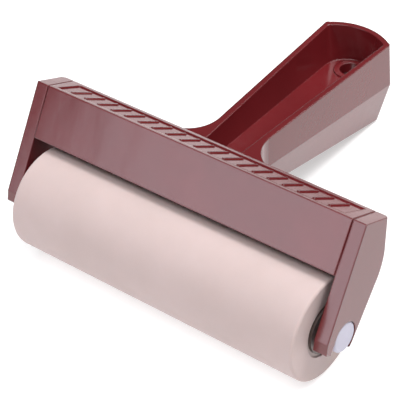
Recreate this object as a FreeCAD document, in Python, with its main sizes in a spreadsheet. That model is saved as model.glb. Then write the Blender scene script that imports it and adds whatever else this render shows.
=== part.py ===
import FreeCAD, Part
import math
import os
import re
import Sketcher

# Four-inch rubber brayer: a one-piece moulded frame (handle, bridge and two arms) that carries a
# rubber-covered roller. The roller turns on a steel rod whose nylon end caps sit in two notches
# at the tips of the arms, so the whole roller can be pulled out of the frame.
#
# Every piece is drawn in the moulding frame: X along the roller, Y towards the handle, Z up the
# front panel, origin at the middle of the top front edge. At the end all pieces are tilted
# together on to the roller and the handle's end, which is how the tool lies on a table.

SIZES = {
    # frame moulding: arms
    "inner_half": 54.0,
    "arm_thick": 4.3,
    "arm_edge": 1.0,
    "tip_crease_y": 0.8,
    "tip_crease_z": -34.2,
    "tip_front_y": 1.9,
    "tip_front_z": -37.3,
    "tip_back_y": 14.6,
    "tip_back_z": -35.5,
    "arm_back_y": 15.2,
    "arm_back_z": -31.5,
    "arm_belly_y": 16.9,
    "arm_belly_z": -17.5,
    "arm_hip_y": 15.9,
    "arm_hip_z": -7.0,
    "arm_belly_radius": 16.8,
    # frame moulding: bridge
    "top_back_y": 11.25,
    "top_back_z": 2.1,
    "panel_height": 16.0,
    "bridge_back_y": 16.9,
    "bridge_back_z": -12.0,
    "bridge_wall": 2.4,
    "bridge_rib": 2.6,
    "bridge_rib_pitch": 25.7,
    "bridge_root": 0.1,
    "crease_width": 0.35,
    "crease_depth": 0.4,
    # label recess on the bridge's top face
    "recess_half_front": 51.6,
    "recess_half_back": 50.2,
    "recess_shift": 1.4,
    "recess_front": 1.5,
    "recess_back": 9.8,
    "recess_depth": 0.35,
    "rib_count": 19,
    "rib_pitch": 5.1,
    "rib_width": 0.6,
    "rib_lean": 2.6,
    "rib_margin": 1.2,
    # roller seat
    "axle_y": 9.1,
    "axle_z": -32.4,
    "notch_radius": 4.7,
    "roller_clearance_radius": 18.5,
    # handle
    "rim_y": 23.0,
    "rim_z": 6.6,
    "rim_angle": 34.5,
    "seam_depth": 9.6,
    "seam_tilt": 5.1,
    "neck_half": 9.0,
    "neck_start": -0.9,
    "flare_half": 18.6,
    "flare_start": -11.2,
    "flare_radius": 10.2,
    "gusset_half": 31.0,
    "gusset_start": -14.8,
    "root_start": -25.0,
    "end_half": 11.8,
    "end_start": 57.4,
    "end_corner_half": 10.9,
    "end_corner_start": 58.4,
    "end_corner_radius": 1.0,
    "end_radius": 19.2,
    "handle_rise": 20.0,
    "upper_end_taper": 6.2,
    "lower_drop": 22.0,
    "lower_taper": 15.0,
    "lower_end_taper": 2.9,
    "lower_depth": 18.7,
    "lower_tilt": 10.1,
    "trim_reach": 90.0,
    "trim_height": 40.0,
    # handle's upper channel, rim outline then floor outline
    "mouth_neck_half": 6.3,
    "mouth_neck_start": -9.3,
    "mouth_half": 10.15,
    "mouth_start": 55.7,
    "mouth_corner_half": 9.0,
    "mouth_corner_start": 57.1,
    "mouth_corner_radius": 1.4,
    "mouth_end_radius": 17.2,
    "floor_depth": 7.9,
    "floor_tilt": 3.8,
    "floor_neck_half": 5.2,
    "floor_neck_start": -7.4,
    "floor_half": 8.2,
    "floor_start": 51.6,
    "floor_corner_half": 5.0,
    "floor_corner_start": 57.6,
    "floor_corner_radius": 7.4,
    "floor_end_radius": 8.2,
    "channel_corner_round": 2.6,
    # handle's lower channel
    "under_neck_half": 7.2,
    "under_neck_start": -3.0,
    "under_half": 9.7,
    "under_start": 55.0,
    "under_corner_half": 8.3,
    "under_corner_start": 56.5,
    "under_corner_radius": 1.6,
    "under_end_radius": 15.2,
    # hanging hole
    "hang_radius": 3.4,
    "hang_start": 53.3,
    "hang_boss_radius": 5.2,
    "hang_boss_height": 0.5,
    # roller
    "roller_radius": 15.875,
    "roller_half": 50.8,
    "roller_float": 1.3,
    "roller_edge_round": 0.8,
    "sleeve_bore": 8.6,
    "core_bore": 6.2,
    "core_recess": 0.6,
    "plug_flange_radius": 7.4,
    "plug_flange": 0.9,
    "plug_depth": 12.0,
    "running_clearance": 0.05,
    # axle
    "rod_radius": 3.0,
    "rod_half": 56.4,
    "cap_radius": 4.65,
    "cap_start": 53.0,
    "cap_flange": 0.85,
    "cap_flange_radius": 5.7,
    "cap_end": 58.2,
    "cap_chamfer": 0.4,
}

document = FreeCAD.newDocument("rubber_brayer")
sheet = document.addObject("Spreadsheet::Sheet", "Sizes")
for row, (alias, size) in enumerate(SIZES.items(), start=1):
    sheet.set(f"A{row}", alias)
    sheet.set(f"B{row}", str(size))
    sheet.setAlias(f"B{row}", alias)
document.recompute()


def bound(formula):
    """The formula with each size's name pointing at its cell."""
    return re.sub(
        r"[a-z_]+",
        lambda word: f"Sizes.{word.group()}" if word.group() in SIZES else word.group(),
        formula,
    )


def value(formula):
    """The formula worked out with the sheet's numbers."""
    return float(sheet.evalExpression(bound(formula)))


def new_body(label):
    body = document.addObject("PartDesign::Body", label)
    body.Label = label
    return body


def new_sketch(body, name, role, offset=("0", "0", "0"), turn="0"):
    """A sketch on one of the body's origin planes, shifted, then turned about its own x axis."""
    sketch = body.newObject("Sketcher::SketchObject", name)
    plane = next(part for part in body.Origin.OriginFeatures if part.Role == role)
    sketch.AttachmentSupport = [(plane, "")]
    sketch.MapMode = "FlatFace"
    start_turn = FreeCAD.Rotation(FreeCAD.Vector(1, 0, 0), value(turn))
    sketch.AttachmentOffset = FreeCAD.Placement(FreeCAD.Vector(), start_turn)
    if turn != "0":
        sketch.setExpression("AttachmentOffset.Rotation.Angle", bound(turn))
    for axis, formula in zip("xyz", offset):
        if formula != "0":
            sketch.setExpression(f"AttachmentOffset.Base.{axis}", bound(formula))
    return sketch


def arc_between(start, end, radius):
    """The shorter arc from start to end; a positive radius bulges to the right of the way."""
    chord = end - start
    half = chord.Length / 2
    left = FreeCAD.Vector(-chord.y, chord.x, 0) / chord.Length
    height = math.sqrt(max(radius * radius - half * half, 0))
    centre = (start + end) / 2 + left * math.copysign(height, radius)
    first, last = (start, end) if radius > 0 else (end, start)
    circle = Part.Circle(centre, FreeCAD.Vector(0, 0, 1), abs(radius))
    return Part.ArcOfCircle(circle, circle.parameter(first), circle.parameter(last))


def add_outline(sketch, corners):
    """A closed outline. Each corner is (x, y) or (x, y, radius), and a radius makes the way from
    that corner to the next an arc. Every coordinate and radius is bound to the sheet."""
    spots = [FreeCAD.Vector(value(corner[0]), value(corner[1]), 0) for corner in corners]
    first_index = sketch.GeometryCount
    start_points = []
    for number, corner in enumerate(corners):
        start = spots[number]
        end = spots[(number + 1) % len(spots)]
        if len(corner) == 2:
            index = sketch.addGeometry(Part.LineSegment(start, end), False)
            start_points.append((index, 1, 2))
            continue
        radius = value(corner[2])
        index = sketch.addGeometry(arc_between(start, end, radius), False)
        start_points.append((index, 1, 2) if radius > 0 else (index, 2, 1))
        size = sketch.addConstraint(Sketcher.Constraint("Radius", index, abs(radius)))
        sketch.setExpression(f"Constraints[{size}]", f"abs({bound(corner[2])})")
    for number, (index, start_point, end_point) in enumerate(start_points):
        following, following_start, _ = start_points[(number + 1) % len(start_points)]
        sketch.addConstraint(
            Sketcher.Constraint("Coincident", index, end_point, following, following_start)
        )
        for kind, formula in zip(("DistanceX", "DistanceY"), corners[number]):
            place = sketch.addConstraint(
                Sketcher.Constraint(kind, -1, 1, index, start_point, value(formula))
            )
            sketch.setExpression(f"Constraints[{place}]", bound(formula))
    return first_index


def add_circle(sketch, x, y, radius):
    circle = Part.Circle(FreeCAD.Vector(value(x), value(y), 0), FreeCAD.Vector(0, 0, 1), value(radius))
    index = sketch.addGeometry(circle, False)
    for kind, formula in (("DistanceX", x), ("DistanceY", y)):
        place = sketch.addConstraint(Sketcher.Constraint(kind, -1, 1, index, 3, value(formula)))
        sketch.setExpression(f"Constraints[{place}]", bound(formula))
    size = sketch.addConstraint(Sketcher.Constraint("Radius", index, value(radius)))
    sketch.setExpression(f"Constraints[{size}]", bound(radius))


def extrude(body, kind, name, sketch, length, reverse=False, both_ways=False):
    """A Pad or Pocket of the sketch; a pad has to add material and a pocket has to remove it."""
    before = body.Shape.Volume if body.Tip else 0
    feature = body.newObject(f"PartDesign::{kind}", name)
    feature.Profile = sketch
    feature.Reversed = reverse
    feature.Midplane = both_ways
    feature.Length = value(length)
    feature.setExpression("Length", bound(length))
    document.recompute()
    check_change(name, before, body.Shape.Volume, kind == "Pad")
    return feature


def loft(body, kind, name, first_sketch, last_sketch):
    """An AdditiveLoft or SubtractiveLoft with straight walls between two outlines."""
    before = body.Shape.Volume if body.Tip else 0
    feature = body.newObject(f"PartDesign::{kind}", name)
    feature.Profile = first_sketch
    feature.Sections = [last_sketch]
    feature.Ruled = True
    document.recompute()
    check_change(name, before, body.Shape.Volume, kind == "AdditiveLoft")
    return feature


def check_change(name, before, after, grows):
    if (after - before) * (1 if grows else -1) <= 0:
        raise ValueError(f"{name} left the volume at {before:.1f} -> {after:.1f}")


def mirror(body, name, features):
    """The same features on the other side of the frame's middle plane."""
    before = body.Shape.Volume
    mirrored = body.newObject("PartDesign::Mirrored", name)
    mirrored.Originals = features
    plane = next(part for part in body.Origin.OriginFeatures if part.Role == "YZ_Plane")
    mirrored.MirrorPlane = (plane, [""])
    body.Tip = mirrored
    document.recompute()
    return body.Shape.Volume - before


def mirrored_outline(right_side):
    """The right side's corners from front to back, then the left side's from back to front. An
    arc starts at the corner it is written with, so it moves to the corner before it on the left."""
    left_side = []
    for number in range(len(right_side) - 1, -1, -1):
        x, y = right_side[number][:2]
        arc = right_side[number - 1][2:] if number else ()
        left_side.append((f"-({x})", y, *arc))
    return [*right_side, *left_side]


# ---------------------------------------------------------------- frame moulding
frame = new_body("frame_moulding")

# Heights of the sloping planes, all on the line through the rim's start square to the rim.
SEAM_PLANE = ("0", "rim_y + seam_depth * sin(rim_angle)", "rim_z - seam_depth * cos(rim_angle)")
SEAM_ANGLE = "rim_angle - seam_tilt"
RIM_PLANE = ("0", "rim_y", "rim_z")
FLOOR_PLANE = ("0", "rim_y + floor_depth * sin(rim_angle)", "rim_z - floor_depth * cos(rim_angle)")
FLOOR_ANGLE = "rim_angle - floor_tilt"

def handle_plan(inset, end_inset):
    """The handle's outline: flared neck, widening sides and a bowed end, drawn in by the insets."""
    return mirrored_outline(
        [
            (f"gusset_half - {inset}", "root_start"),
            (f"gusset_half - {inset}", "gusset_start"),
            (f"flare_half - {inset}", "flare_start", "-flare_radius"),
            (f"neck_half - {inset}", "neck_start"),
            (f"end_half - {inset}", f"end_start - {end_inset}", "end_corner_radius"),
            (f"end_corner_half - {inset}", f"end_corner_start - {end_inset}", "end_radius"),
        ]
    )


# Handle: above the moulding seam the sides stand square and the end leans in, below it the sides
# and the end lean inwards.
HIGH_PLANE = (
    "0",
    f"{SEAM_PLANE[1]} - handle_rise * sin({SEAM_ANGLE})",
    f"{SEAM_PLANE[2]} + handle_rise * cos({SEAM_ANGLE})",
)
plan = new_sketch(frame, "HandlePlan", "XY_Plane", SEAM_PLANE, SEAM_ANGLE)
add_outline(plan, handle_plan("0", "0"))
high_plan = new_sketch(frame, "HandleHighPlan", "XY_Plane", HIGH_PLANE, SEAM_ANGLE)
add_outline(high_plan, handle_plan("0", "handle_rise * tan(upper_end_taper)"))
loft(frame, "AdditiveLoft", "HandleUpper", plan, high_plan)

above_rim = new_sketch(frame, "AboveRim", "XY_Plane", RIM_PLANE, "rim_angle")
add_outline(
    above_rim,
    [
        ("-trim_height", "-trim_reach"),
        ("trim_height", "-trim_reach"),
        ("trim_height", "trim_reach"),
        ("-trim_height", "trim_reach"),
    ],
)
extrude(frame, "Pocket", "RimTrim", above_rim, "trim_height", reverse=True)

LEAN = "lower_drop * tan(lower_taper)"
END_LEAN = "lower_drop * tan(lower_end_taper)"
FOOT_PLANE = (
    "0",
    f"{SEAM_PLANE[1]} + lower_drop * sin({SEAM_ANGLE})",
    f"{SEAM_PLANE[2]} - lower_drop * cos({SEAM_ANGLE})",
)
foot_plan = new_sketch(frame, "HandleFootPlan", "XY_Plane", FOOT_PLANE, SEAM_ANGLE)
add_outline(foot_plan, handle_plan(LEAN, END_LEAN))
seam_plan = new_sketch(frame, "HandleSeamPlan", "XY_Plane", SEAM_PLANE, SEAM_ANGLE)
add_outline(seam_plan, handle_plan("0", "0"))
loft(frame, "AdditiveLoft", "HandleLower", seam_plan, foot_plan)

LOWER_PLANE = (
    "0",
    "rim_y + lower_depth * sin(rim_angle)",
    "rim_z - lower_depth * cos(rim_angle)",
)
below_lower = new_sketch(frame, "BelowHandle", "XY_Plane", LOWER_PLANE, "rim_angle - lower_tilt")
add_outline(
    below_lower,
    [
        ("-trim_height", "-trim_reach"),
        ("trim_height", "-trim_reach"),
        ("trim_height", "trim_reach"),
        ("-trim_height", "trim_reach"),
    ],
)
extrude(frame, "Pocket", "LowerTrim", below_lower, "trim_height")

# Bridge over the roller: a hollow section with a sloping back, open underneath, with ribs across.
bridge_side = new_sketch(frame, "BridgeSide", "YZ_Plane")
add_outline(
    bridge_side,
    [
        ("0", "0"),
        ("0", "-panel_height"),
        ("bridge_back_y", "-panel_height"),
        ("bridge_back_y", "bridge_back_z"),
        ("arm_hip_y", "arm_hip_z"),
        ("top_back_y", "top_back_z"),
    ],
)
extrude(
    frame, "Pad", "Bridge", bridge_side, "2 * (inner_half + bridge_root)", both_ways=True
)
hollow_side = new_sketch(frame, "HollowSide", "YZ_Plane")
add_outline(
    hollow_side,
    [
        ("bridge_wall", "-bridge_wall + top_back_z / 4"),
        ("bridge_wall", "-panel_height - bridge_wall"),
        ("bridge_back_y - bridge_wall", "-panel_height - bridge_wall"),
        ("bridge_back_y - bridge_wall", "bridge_back_z"),
        ("arm_hip_y - bridge_wall", "arm_hip_z"),
        ("top_back_y - bridge_wall", "top_back_z - bridge_wall"),
    ],
)
extrude(
    frame, "Pocket", "Hollow", hollow_side, "2 * inner_half", both_ways=True
)
RIB_PLACES = (-1, 0, 1)
for place in RIB_PLACES:
    rib_side = new_sketch(
        frame,
        f"RibSide{place + 2}",
        "YZ_Plane",
        ("0", "0", f"{place} * bridge_rib_pitch - bridge_rib / 2"),
    )
    add_outline(
        rib_side,
        [
            ("bridge_wall / 2", "-bridge_wall / 2"),
            ("bridge_wall / 2", "-panel_height"),
            ("bridge_back_y - bridge_wall / 2", "-panel_height"),
            ("bridge_back_y - bridge_wall / 2", "bridge_back_z"),
            ("arm_hip_y - bridge_wall / 2", "arm_hip_z"),
            ("top_back_y - bridge_wall / 2", "top_back_z - bridge_wall / 2"),
        ],
    )
    extrude(frame, "Pad", f"Rib{place + 2}", rib_side, "bridge_rib")

# The two arms; the back edge of each outer face is bevelled.
def arm_outline(bevel):
    """An arm seen from the side, with its top back corner and its back drawn in by the bevel."""
    return [
        ("0", "0"),
        ("tip_crease_y", "tip_crease_z"),
        ("tip_front_y", "tip_front_z"),
        ("axle_y", "tip_front_z"),
        (f"tip_back_y - {bevel}", "tip_back_z"),
        (f"arm_back_y - {bevel}", "arm_back_z"),
        (f"arm_belly_y - {bevel}", "arm_belly_z", "arm_belly_radius"),
        (f"arm_hip_y - {bevel}", f"arm_hip_z - {bevel} / 3"),
        (f"top_back_y - {bevel}", f"top_back_z * (1 - {bevel} / top_back_y)"),
    ]


for side_name, side in (("Right", 1), ("Left", -1)):
    arm_side = new_sketch(frame, f"{side_name}ArmSide", "YZ_Plane", ("0", "0", f"{side} * inner_half"))
    add_outline(arm_side, arm_outline("0"))
    seat_place = ("0", "0", f"{side} * (inner_half + arm_thick - arm_edge)")
    arm_seat = new_sketch(frame, f"{side_name}ArmSeat", "YZ_Plane", seat_place)
    add_outline(arm_seat, arm_outline("0"))
    face_place = ("0", "0", f"{side} * (inner_half + arm_thick)")
    arm_face = new_sketch(frame, f"{side_name}ArmFace", "YZ_Plane", face_place)
    add_outline(arm_face, arm_outline("arm_edge"))
    extrude(frame, "Pad", f"{side_name}Arm", arm_side, "arm_thick - arm_edge", reverse=side < 0)
    loft(frame, "AdditiveLoft", f"{side_name}ArmBevel", arm_seat, arm_face)

# Underside of the bridge follows the roller.
roller_space = new_sketch(frame, "RollerSpace", "YZ_Plane")
add_circle(roller_space, "axle_y", "axle_z", "roller_clearance_radius")
extrude(frame, "Pocket", "RollerClearance", roller_space, "2 * inner_half", both_ways=True)

# Open notches for the axle caps at the arm tips.
notch = new_sketch(frame, "AxleNotch", "YZ_Plane")
add_outline(
    notch,
    [
        ("axle_y - notch_radius", "axle_z - 2 * notch_radius"),
        ("axle_y + notch_radius", "axle_z - 2 * notch_radius"),
        ("axle_y + notch_radius", "axle_z", "notch_radius + 0.0001"),
        ("axle_y", "axle_z + notch_radius", "notch_radius + 0.0001"),
        ("axle_y - notch_radius", "axle_z"),
    ],
)
extrude(
    frame, "Pocket", "Notches", notch, "2 * (inner_half + arm_thick) + 2", both_ways=True
)

# Upper channel of the handle, from the rim down to a narrower floor with a rounded end.
mouth = new_sketch(frame, "ChannelMouth", "XY_Plane", RIM_PLANE, "rim_angle")
add_outline(
    mouth,
    mirrored_outline(
        [
            ("mouth_neck_half", "mouth_neck_start"),
            ("mouth_half", "mouth_start", "mouth_corner_radius"),
            ("mouth_corner_half", "mouth_corner_start", "mouth_end_radius"),
        ]
    ),
)
channel_floor = new_sketch(frame, "ChannelFloor", "XY_Plane", FLOOR_PLANE, FLOOR_ANGLE)
add_outline(
    channel_floor,
    mirrored_outline(
        [
            ("floor_neck_half", "floor_neck_start"),
            ("floor_half", "floor_start", "floor_corner_radius"),
            ("floor_corner_half", "floor_corner_start", "floor_end_radius"),
        ]
    ),
)
loft(frame, "SubtractiveLoft", "UpperChannel", mouth, channel_floor)

# Lower channel, open underneath, from the seam down.
def under_plan(inset, end_inset):
    return mirrored_outline(
        [
            (f"under_neck_half - {inset}", f"under_neck_start + {inset}"),
            (f"under_half - {inset}", f"under_start - {end_inset}", "under_corner_radius"),
            (f"under_corner_half - {inset}", f"under_corner_start - {end_inset}", "under_end_radius"),
        ]
    )


under = new_sketch(frame, "UnderChannel", "XY_Plane", SEAM_PLANE, SEAM_ANGLE)
add_outline(under, under_plan("0", "0"))
under_foot = new_sketch(frame, "UnderChannelFoot", "XY_Plane", FOOT_PLANE, SEAM_ANGLE)
add_outline(under_foot, under_plan(LEAN, END_LEAN))
loft(frame, "SubtractiveLoft", "LowerChannel", under, under_foot)

# Raised ring and hanging hole in the floor near the handle's end.
boss = new_sketch(frame, "HangBoss", "XY_Plane", FLOOR_PLANE, FLOOR_ANGLE)
add_circle(boss, "0", "hang_start", "hang_boss_radius")
extrude(frame, "Pad", "HangRing", boss, "hang_boss_height")
hang = new_sketch(frame, "HangHole", "XY_Plane", FLOOR_PLANE, FLOOR_ANGLE)
add_circle(hang, "0", "hang_start", "hang_radius")
extrude(frame, "Pocket", "HangBore", hang, "seam_depth", both_ways=True)

# Label recess in the bridge's top face, with plain leaning ribs standing in it.
TOP_SLOPE = "atan2(top_back_z; top_back_y)"
recess = new_sketch(frame, "Recess", "XY_Plane", ("0", "0", "0"), TOP_SLOPE)
add_outline(
    recess,
    [
        ("-recess_half_front", "recess_front"),
        ("recess_half_front - recess_shift", "recess_front"),
        ("recess_half_back + recess_shift", "recess_back"),
        ("-recess_half_back", "recess_back"),
    ],
)
extrude(frame, "Pocket", "LabelRecess", recess, "recess_depth")

ribs = new_sketch(
    frame,
    "RecessRibs",
    "XY_Plane",
    ("0", f"recess_depth * sin({TOP_SLOPE})", f"-recess_depth * cos({TOP_SLOPE})"),
    TOP_SLOPE,
)
for number in range(int(SIZES["rib_count"])):
    middle = f"({number} - (rib_count - 1) / 2) * rib_pitch"
    front_y = "recess_front + rib_margin"
    back_y = "recess_back - rib_margin"
    add_outline(
        ribs,
        [
            (f"{middle} - (rib_width + rib_lean) / 2", front_y),
            (f"{middle} + (rib_width - rib_lean) / 2", front_y),
            (f"{middle} + (rib_width + rib_lean) / 2", back_y),
            (f"{middle} - (rib_width - rib_lean) / 2", back_y),
        ],
    )
extrude(frame, "Pad", "LabelRibs", ribs, "recess_depth")

# Fine crease where each arm meets the front panel and the top face.
crease = new_sketch(frame, "ArmCrease", "YZ_Plane", ("0", "0", "inner_half - crease_width / 2"))
add_outline(
    crease,
    [
        ("-crease_depth", "-panel_height - crease_depth"),
        ("crease_depth", "-panel_height - crease_depth"),
        ("crease_depth", "-crease_depth"),
        ("top_back_y", "top_back_z - crease_depth"),
        ("top_back_y + crease_depth", "top_back_z + crease_depth"),
        ("-crease_depth", "crease_depth"),
    ],
)
right_crease = extrude(frame, "Pocket", "RightCrease", crease, "crease_width", reverse=True)
check_change("LeftCrease", mirror(frame, "LeftCrease", [right_crease]), 0, True)


# ---------------------------------------------------------------- turned pieces
def turned(label, outline, side=1):
    """A piece turned about the axle; its outline gives places along the axle and radii."""
    body = new_body(label)
    sketch = new_sketch(body, f"{label}_outline", "XY_Plane")
    if side > 0:
        add_outline(sketch, outline)
    else:
        flipped = []
        for number in range(len(outline) - 1, -1, -1):
            along, radius = outline[number][:2]
            flipped.append((f"-({along})", radius, *outline[number - 1][2:]))
        add_outline(sketch, flipped)
    revolution = body.newObject("PartDesign::Revolution", f"{label}_turning")
    revolution.Profile = sketch
    revolution.ReferenceAxis = (sketch, ["H_Axis"])
    revolution.Angle = 360
    document.recompute()
    return body


sleeve = turned(
    "rubber_sleeve",
    [
        ("-roller_half", "sleeve_bore"),
        ("roller_half", "sleeve_bore"),
        ("roller_half", "roller_radius - roller_edge_round", "roller_edge_round"),
        ("roller_half - roller_edge_round", "roller_radius"),
        ("-roller_half + roller_edge_round", "roller_radius", "roller_edge_round"),
        ("-roller_half", "roller_radius - roller_edge_round"),
    ],
)
core = turned(
    "core_tube",
    [
        ("-roller_half + core_recess", "core_bore"),
        ("roller_half - core_recess", "core_bore"),
        ("roller_half - core_recess", "sleeve_bore"),
        ("-roller_half + core_recess", "sleeve_bore"),
    ],
)
PLUG_FACE = "roller_half - core_recess"
PLUG_BORE = "rod_radius + running_clearance"
plug_outline = [
    (f"{PLUG_FACE} - plug_depth", PLUG_BORE),
    (f"{PLUG_FACE} + plug_flange", PLUG_BORE),
    (f"{PLUG_FACE} + plug_flange", "plug_flange_radius"),
    (PLUG_FACE, "plug_flange_radius"),
    (PLUG_FACE, "core_bore"),
    (f"{PLUG_FACE} - plug_depth", "core_bore"),
]
rod = turned(
    "axle_rod",
    [
        ("-rod_half", "0"),
        ("rod_half", "0"),
        ("rod_half", "rod_radius"),
        ("-rod_half", "rod_radius"),
    ],
)
cap_outline = [
    ("cap_start", "rod_radius"),
    ("rod_half", "rod_radius"),
    ("rod_half", "0"),
    ("cap_end", "0"),
    ("cap_end", "cap_radius - cap_chamfer"),
    ("cap_end - cap_chamfer", "cap_radius"),
    ("cap_start + cap_flange", "cap_radius"),
    ("cap_start + cap_flange", "cap_flange_radius"),
    ("cap_start", "cap_flange_radius"),
]
roller_bodies = [sleeve, core]
axle_bodies = [rod]
for side_name, side in (("right", 1), ("left", -1)):
    roller_bodies.append(turned(f"end_plug_{side_name}", plug_outline, side))
    axle_bodies.append(turned(f"axle_cap_{side_name}", cap_outline, side))

# ---------------------------------------------------------------- resting place
# The tool lies on the roller and on the lower edge of the handle's end. The tilt is found by
# turning the frame about the axle until its lowest point is level with the roller's lowest line.
X_AXIS = FreeCAD.Vector(1, 0, 0)
axle = FreeCAD.Vector(0, value("axle_y"), value("axle_z"))
radius = value("roller_radius")
tilt = value("rim_angle")
for _ in range(12):
    turned_shape = frame.Shape.copy()
    turned_shape.rotate(axle, X_AXIS, -tilt)
    box = turned_shape.optimalBoundingBox(False)
    height_error = box.ZMin - (axle.z - radius)
    tilt += math.degrees(math.atan2(height_error, box.YMax - axle.y))

lift = FreeCAD.Rotation(X_AXIS, -tilt)
front_y = min(box.YMin, axle.y - radius)
middle_y = (front_y + box.YMax) / 2
# Shift that carries the axle, which the turn leaves in place, to its resting spot.
axle_rest = FreeCAD.Vector(0, axle.y - middle_y, radius)
frame.Placement = FreeCAD.Placement(axle_rest - lift.multVec(axle), lift)
# The roller has slid to the right as far as its end float lets it.
float_right = FreeCAD.Vector(value("roller_float"), 0, 0)
for body in axle_bodies:
    body.Placement = FreeCAD.Placement(axle_rest, lift)
for body in roller_bodies:
    body.Placement = FreeCAD.Placement(axle_rest + float_right, lift)
document.recompute()

# ---------------------------------------------------------------- check and write
for item in document.Objects:
    if {"Invalid", "Error"} & set(item.State):
        raise ValueError(f"{item.Label} failed: {item.State}")
pieces = [frame, *roller_bodies, *axle_bodies]
for piece in pieces:
    if piece.Shape.isNull() or not piece.Shape.isValid() or len(piece.Shape.Solids) != 1:
        raise ValueError(f"{piece.Label} is not one valid solid")
os.makedirs("parts", exist_ok=True)
for piece in pieces:
    piece.Shape.exportStep(f"parts/{piece.Label}.step")
    box = piece.Shape.optimalBoundingBox(False)
    print(
        f"{piece.Label}: {piece.Shape.Volume:.0f} mm3,"
        f" x {box.XMin:.2f}..{box.XMax:.2f}, y {box.YMin:.2f}..{box.YMax:.2f},"
        f" z {box.ZMin:.2f}..{box.ZMax:.2f}"
    )
print(f"rest tilt {tilt:.3f}, axle at y {axle_rest.y:.3f}, z {axle_rest.z:.3f}")
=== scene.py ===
import math
import bpy
from mathutils import Matrix, Vector


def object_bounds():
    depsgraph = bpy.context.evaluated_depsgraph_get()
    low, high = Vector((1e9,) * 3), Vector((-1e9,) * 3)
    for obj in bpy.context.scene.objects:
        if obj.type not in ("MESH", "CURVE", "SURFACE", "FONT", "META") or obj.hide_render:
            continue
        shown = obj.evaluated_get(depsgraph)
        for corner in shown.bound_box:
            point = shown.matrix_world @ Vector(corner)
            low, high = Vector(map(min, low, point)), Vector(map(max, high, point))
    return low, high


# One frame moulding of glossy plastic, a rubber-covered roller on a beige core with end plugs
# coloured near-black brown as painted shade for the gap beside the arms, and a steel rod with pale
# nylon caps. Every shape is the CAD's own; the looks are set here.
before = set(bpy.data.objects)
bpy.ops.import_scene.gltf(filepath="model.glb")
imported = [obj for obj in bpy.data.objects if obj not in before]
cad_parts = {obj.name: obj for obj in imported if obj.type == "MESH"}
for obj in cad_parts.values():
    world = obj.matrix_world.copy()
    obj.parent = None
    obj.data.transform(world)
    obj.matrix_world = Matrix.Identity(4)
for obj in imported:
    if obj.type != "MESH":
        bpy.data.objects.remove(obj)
cad_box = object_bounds()

# ---------------------------------------------------------------- camera (degrees, mm, metres)
CAMERA_AZIMUTH = 46.483
CAMERA_ELEVATION = 44.520
CAMERA_ROLL = -11.911
CAMERA_LENS = 154.88
CAMERA_SENSOR = 36.0
CAMERA_CLIP_START = 0.01
CAMERA_PLACE = (0.25248, -0.26674, 0.36907)

# ---------------------------------------------------------------- colours (linear)
PLASTIC_RED = (0.134, 0.0102, 0.0130)
PLASTIC_DARK = (0.105, 0.0080, 0.0100)
RUBBER_BASE = (0.515, 0.410, 0.398)
RUBBER_DARK = (0.478, 0.379, 0.364)
NYLON_WHITE = (0.480, 0.460, 0.560)
# painted shade: the end plugs are coloured near-black brown to stand for the shade in the narrow gap
# between the roller ends and the arms
PLUG_PAINTED_SHADE = (0.090, 0.062, 0.054)
CORE_BEIGE = (0.490, 0.390, 0.370)
STEEL_GREY = (0.560, 0.560, 0.580)
FLOOR_PALE = (0.640, 0.640, 0.640)
WHITE = (1.0, 1.0, 1.0)
LILAC_TINT = (0.98, 0.98, 1.05)

# ---------------------------------------------------------------- strengths and sizes (metres)
FLOOR_SIZE = 6.0
FLOOR_GLOW = 0.52
WORLD_GLOW = 0.12
SHADED_EDGE_RADIUS = 0.0006
SOFT_EDGE_WIDTH = 0.00012
SOFT_EDGE_ANGLE = 35

# ---------------------------------------------------------------- lights (metres, watts)
TABLE_CENTRE = (0, 0, 0)
BRIDGE_FRONT = (0, -0.03, 0.04)


def new_material(name):
    material = bpy.data.materials.new(name)
    material.use_nodes = True
    nodes = material.node_tree.nodes
    shader = nodes["Principled BSDF"]
    return material, nodes, material.node_tree.links, shader


def noise(nodes, links, vector, scale, detail=4.0, roughness=0.5):
    node = nodes.new("ShaderNodeTexNoise")
    node.inputs["Scale"].default_value = scale
    node.inputs["Detail"].default_value = detail
    node.inputs["Roughness"].default_value = roughness
    links.new(vector, node.inputs["Vector"])
    return node.outputs["Fac"]


def stretched(nodes, links, vector, scale):
    node = nodes.new("ShaderNodeMapping")
    node.inputs["Scale"].default_value = scale
    links.new(vector, node.inputs["Vector"])
    return node.outputs["Vector"]


def ramp(nodes, links, factor, stops):
    node = nodes.new("ShaderNodeValToRGB")
    elements = node.color_ramp.elements
    while len(elements) < len(stops):
        elements.new(0.5)
    for element, (place, colour) in zip(elements, stops):
        element.position = place
        element.color = (*colour, 1.0)
    links.new(factor, node.inputs["Fac"])
    return node.outputs["Color"]


def grey(value):
    return (value, value, value)


def darker(colour, share):
    return tuple(part * share for part in colour)


def bump(nodes, links, height, distance, strength, under=None):
    node = nodes.new("ShaderNodeBump")
    node.inputs["Distance"].default_value = distance
    node.inputs["Strength"].default_value = strength
    links.new(height, node.inputs["Height"])
    if under is not None:
        links.new(under, node.inputs["Normal"])
    return node.outputs["Normal"]


def rounded_edges(nodes, radius):
    """Normals that turn smoothly over an edge, as on a moulded or turned corner."""
    node = nodes.new("ShaderNodeBevel")
    node.samples = 8
    node.inputs["Radius"].default_value = radius
    return node.outputs["Normal"]


def object_space(nodes):
    return nodes.new("ShaderNodeTexCoord").outputs["Object"]


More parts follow.
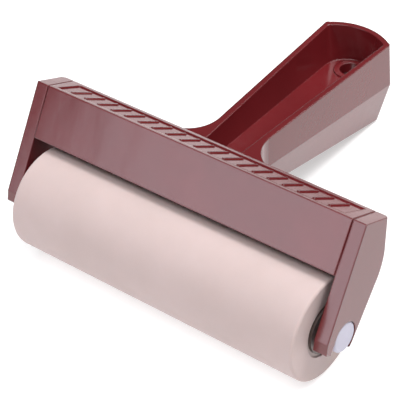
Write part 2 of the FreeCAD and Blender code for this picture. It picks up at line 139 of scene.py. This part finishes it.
def moulded_plastic():
    """Glossy maroon injection-moulded plastic: cloudy pigment, orange peel, fine handling marks."""
    material, nodes, links, shader = new_material("moulded_plastic")
    place = object_space(nodes)
    cloud = noise(nodes, links, place, 38.0, 5.0, 0.55)
    links.new(
        ramp(nodes, links, cloud, [(0.30, PLASTIC_DARK), (0.72, PLASTIC_RED)]),
        shader.inputs["Base Color"],
    )
    scuffs = noise(nodes, links, stretched(nodes, links, place, (260, 1900, 1900)), 1.0, 6.0, 0.7)
    links.new(
        ramp(nodes, links, scuffs, [(0.35, grey(0.16)), (0.80, grey(0.27))]),
        shader.inputs["Roughness"],
    )
    waves = noise(nodes, links, stretched(nodes, links, place, (55, 22, 22)), 1.0, 2.0, 0.4)
    peel = noise(nodes, links, place, 420.0, 2.0, 0.4)
    grain = noise(nodes, links, place, 3200.0, 2.0, 0.5)
    soft = rounded_edges(nodes, SHADED_EDGE_RADIUS)
    wavy = bump(nodes, links, waves, 0.0006, 0.5, soft)
    first = bump(nodes, links, peel, 0.00006, 0.35, wavy)
    links.new(bump(nodes, links, grain, 0.00001, 0.25, first), shader.inputs["Normal"])
    shader.inputs["IOR"].default_value = 1.55
    shader.inputs["Coat Weight"].default_value = 0.3
    shader.inputs["Coat Roughness"].default_value = 0.16
    shader.inputs["Coat IOR"].default_value = 1.6
    return material


def rubber():
    """Soft beige rubber, ground to size: fine rings round the roller, faint blotches, no gloss."""
    material, nodes, links, shader = new_material("rubber")
    place = object_space(nodes)
    blotch = noise(nodes, links, place, 60.0, 5.0, 0.6)
    links.new(
        ramp(nodes, links, blotch, [(0.25, RUBBER_DARK), (0.65, RUBBER_BASE)]),
        shader.inputs["Base Color"],
    )
    rings = noise(nodes, links, stretched(nodes, links, place, (5200, 90, 90)), 1.0, 3.0, 0.6)
    pores = noise(nodes, links, place, 2600.0, 3.0, 0.6)
    first = bump(nodes, links, rings, 0.00003, 0.25)
    links.new(bump(nodes, links, pores, 0.00003, 0.25, first), shader.inputs["Normal"])
    links.new(
        ramp(nodes, links, pores, [(0.30, grey(0.62)), (0.75, grey(0.80))]),
        shader.inputs["Roughness"],
    )
    shader.inputs["Specular IOR Level"].default_value = 0.35
    shader.inputs["Subsurface Weight"].default_value = 0.15
    shader.inputs["Subsurface Radius"].default_value = (0.003, 0.0018, 0.0014)
    shader.inputs["Subsurface Scale"].default_value = 0.5
    return material


def nylon(name, colour):
    """Natural nylon, satin, slightly milky, with faint turning rings."""
    material, nodes, links, shader = new_material(name)
    place = object_space(nodes)
    tone = noise(nodes, links, place, 300.0, 3.0, 0.5)
    links.new(
        ramp(nodes, links, tone, [(0.3, darker(colour, 0.92)), (0.7, colour)]),
        shader.inputs["Base Color"],
    )
    grain = noise(nodes, links, place, 2800.0, 3.0, 0.5)
    links.new(bump(nodes, links, grain, 0.00002, 0.2), shader.inputs["Normal"])
    shader.inputs["Roughness"].default_value = 0.42
    shader.inputs["Subsurface Weight"].default_value = 0.2
    shader.inputs["Subsurface Radius"].default_value = (0.002, 0.002, 0.002)
    shader.inputs["Subsurface Scale"].default_value = 0.5
    return material


def core_plastic():
    """Beige core tube: matt, a little mottled."""
    material, nodes, links, shader = new_material("core_plastic")
    place = object_space(nodes)
    tone = noise(nodes, links, place, 220.0, 4.0, 0.6)
    links.new(
        ramp(nodes, links, tone, [(0.3, darker(CORE_BEIGE, 0.8)), (0.7, CORE_BEIGE)]),
        shader.inputs["Base Color"],
    )
    links.new(
        bump(nodes, links, noise(nodes, links, place, 1800.0), 0.00003, 0.3),
        shader.inputs["Normal"],
    )
    shader.inputs["Roughness"].default_value = 0.55
    return material


def steel():
    """Bright drawn steel rod with fine lines along its length."""
    material, nodes, links, shader = new_material("steel")
    place = object_space(nodes)
    lines = noise(nodes, links, stretched(nodes, links, place, (60, 5200, 5200)), 1.0, 4.0, 0.6)
    links.new(
        ramp(nodes, links, lines, [(0.3, grey(0.22)), (0.7, grey(0.36))]),
        shader.inputs["Roughness"],
    )
    links.new(bump(nodes, links, lines, 0.00001, 0.2), shader.inputs["Normal"])
    links.new(
        ramp(nodes, links, lines, [(0.2, darker(STEEL_GREY, 0.85)), (0.8, STEEL_GREY)]),
        shader.inputs["Base Color"],
    )
    shader.inputs["Metallic"].default_value = 1.0
    return material


def dress(node, material):
    """Gives a CAD node one material, in all its slots."""
    obj = bpy.data.objects[node]
    if not obj.material_slots:
        obj.data.materials.append(material)
    for slot in obj.material_slots:
        slot.material = material


plastic = moulded_plastic()
white_nylon = nylon("nylon", NYLON_WHITE)
# the end plugs get the near-black brown painted-shade colour, which stands for the shade beside the
# arms
painted_shade_nylon = nylon("nylon_painted_shade", PLUG_PAINTED_SHADE)
dress("frame_moulding", plastic)
dress("rubber_sleeve", rubber())
dress("core_tube", core_plastic())
dress("axle_rod", steel())
for side in ("left", "right"):
    dress(f"end_plug_{side}", painted_shade_nylon)
    dress(f"axle_cap_{side}", white_nylon)

# the moulding's corners are a little round
soften = bpy.data.objects["frame_moulding"].modifiers.new("soft_edges", "BEVEL")
soften.width = SOFT_EDGE_WIDTH
soften.segments = 2
soften.limit_method = "ANGLE"
soften.angle_limit = math.radians(SOFT_EDGE_ANGLE)
soften.harden_normals = False

# ---------------------------------------------------------------- floor, light, camera
floor_height = cad_box[0][2]
bpy.ops.mesh.primitive_plane_add(size=FLOOR_SIZE, location=(0, 0, floor_height))
floor = bpy.context.object
floor.name = "floor"
floor_material, _, _, floor_shader = new_material("floor_pale")
floor_shader.inputs["Base Color"].default_value = (*FLOOR_PALE, 1.0)
floor_shader.inputs["Roughness"].default_value = 0.9
floor_shader.inputs["Emission Color"].default_value = (*WHITE, 1.0)
floor_shader.inputs["Emission Strength"].default_value = FLOOR_GLOW
floor.data.materials.append(floor_material)

world = bpy.data.worlds.new("studio")
bpy.context.scene.world = world
world.use_nodes = True
background = world.node_tree.nodes["Background"]
background.inputs["Color"].default_value = (*WHITE, 1.0)
background.inputs["Strength"].default_value = WORLD_GLOW


def softbox(name, place, target, width, height, power, tint=WHITE):
    """A rectangular lamp at a place, turned to face a target."""
    light = bpy.data.lights.new(name, "AREA")
    light.color = tint
    light.shape = "RECTANGLE"
    light.size = width
    light.size_y = height
    light.energy = power
    obj = bpy.data.objects.new(name, light)
    obj.location = place
    obj.rotation_euler = (Vector(target) - Vector(place)).to_track_quat("-Z", "Y").to_euler()
    bpy.context.collection.objects.link(obj)


# key from high up on the right, behind the object; low box that the bridge's front mirrors; high fill
softbox("key_box", (0.36, 0.52, 1.06), TABLE_CENTRE, 0.9, 0.8, 18.5)
softbox("front_left_box", (-0.41, -0.81, 0.44), BRIDGE_FRONT, 0.44, 0.5, 2.12, LILAC_TINT)
softbox("front_fill", (0.15, -0.46, 1.16), TABLE_CENTRE, 0.7, 0.7, 10.0)

azimuth = math.radians(CAMERA_AZIMUTH)
elevation = math.radians(CAMERA_ELEVATION)
back = Vector(
    (
        math.sin(azimuth) * math.cos(elevation),
        -math.cos(azimuth) * math.cos(elevation),
        math.sin(elevation),
    )
)
camera_data = bpy.data.cameras.new("camera")
camera_data.lens = CAMERA_LENS
camera_data.sensor_width = CAMERA_SENSOR
camera_data.clip_start = CAMERA_CLIP_START
camera = bpy.data.objects.new("camera", camera_data)
bpy.context.collection.objects.link(camera)
level = back.to_track_quat("Z", "Y").to_matrix().to_4x4()
camera.matrix_world = (
    Matrix.Translation(CAMERA_PLACE)
    @ level
    @ Matrix.Rotation(math.radians(CAMERA_ROLL), 4, "Z")
)
bpy.context.scene.camera = camera
bpy.context.scene.view_settings.view_transform = "Standard"
